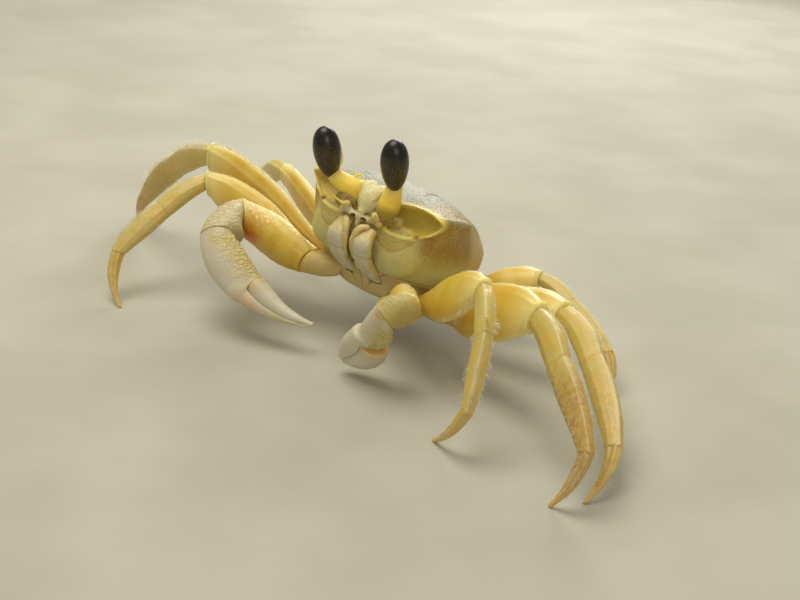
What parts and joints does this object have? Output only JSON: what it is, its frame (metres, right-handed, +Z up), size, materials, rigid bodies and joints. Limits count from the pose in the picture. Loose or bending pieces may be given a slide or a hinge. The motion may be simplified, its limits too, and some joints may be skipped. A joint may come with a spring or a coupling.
{
  "type": "ghost crab figure",
  "caption": "Life-size still figure of a pale ghost crab with tall stalked eyes, its front raised on wide-spread walking legs and its unequal claws folded in below the mouth",
  "frame": {"origin": "middle of the floor under the whole crab", "axes": "+Z up, the crab faces -Y, its own left side is +X, and its legs spread furthest along X"},
  "size_m": [0.164, 0.0838, 0.0468],
  "materials": {
    "back": "satin, finely granular",
    "cheek": "satin",
    "plate": "satin",
    "thigh": "glossy, slightly translucent",
    "shank": "satin",
    "claw": "satin, granular",
    "stalk": "glossy, slightly translucent",
    "cornea": "high gloss"
  },
  "bodies": {
    "root": {"leg1_left_merus": "thigh", "leg1_left_carpus": "shank", "leg1_left_propodus": "shank", "leg1_left_dactyl": "shank", "leg1_right_merus": "thigh", "leg1_right_carpus": "shank", "leg1_right_propodus": "shank", "leg1_right_dactyl": "shank", "leg2_left_merus": "thigh", "leg2_left_carpus": "shank", "leg2_left_propodus": "shank", "leg2_left_dactyl": "shank", "leg2_right_merus": "thigh", "leg2_right_carpus": "shank", "leg2_right_propodus": "shank", "leg2_right_dactyl": "shank", "leg3_left_merus": "thigh", "leg3_left_carpus": "shank", "leg3_left_propodus": "shank", "leg3_left_dactyl": "shank", "leg3_right_merus": "thigh", "leg3_right_carpus": "shank", "leg3_right_propodus": "shank", "leg3_right_dactyl": "shank", "leg4_left_merus": "thigh", "leg4_left_carpus": "shank", "leg4_left_propodus": "shank", "leg4_left_dactyl": "shank", "leg4_right_merus": "thigh", "leg4_right_carpus": "shank", "leg4_right_propodus": "shank", "leg4_right_dactyl": "shank", "claw_left_merus": "thigh", "claw_left_carpus": "claw", "claw_left_palm": "claw", "claw_left_finger": "claw", "cheek_left": "cheek", "maxilliped_left": "plate", "antenna_left": "stalk", "eyestalk_left": "stalk", "cornea_left": "cornea", "claw_right_merus": "thigh", "claw_right_carpus": "claw", "claw_right_palm": "claw", "claw_right_finger": "claw", "cheek_right": "cheek", "maxilliped_right": "plate", "antenna_right": "stalk", "eyestalk_right": "stalk", "cornea_right": "cornea", "carapace": "back", "epistome": "cheek", "abdomen": "plate", "sternum": "plate"}
  },
  "joints": []
}
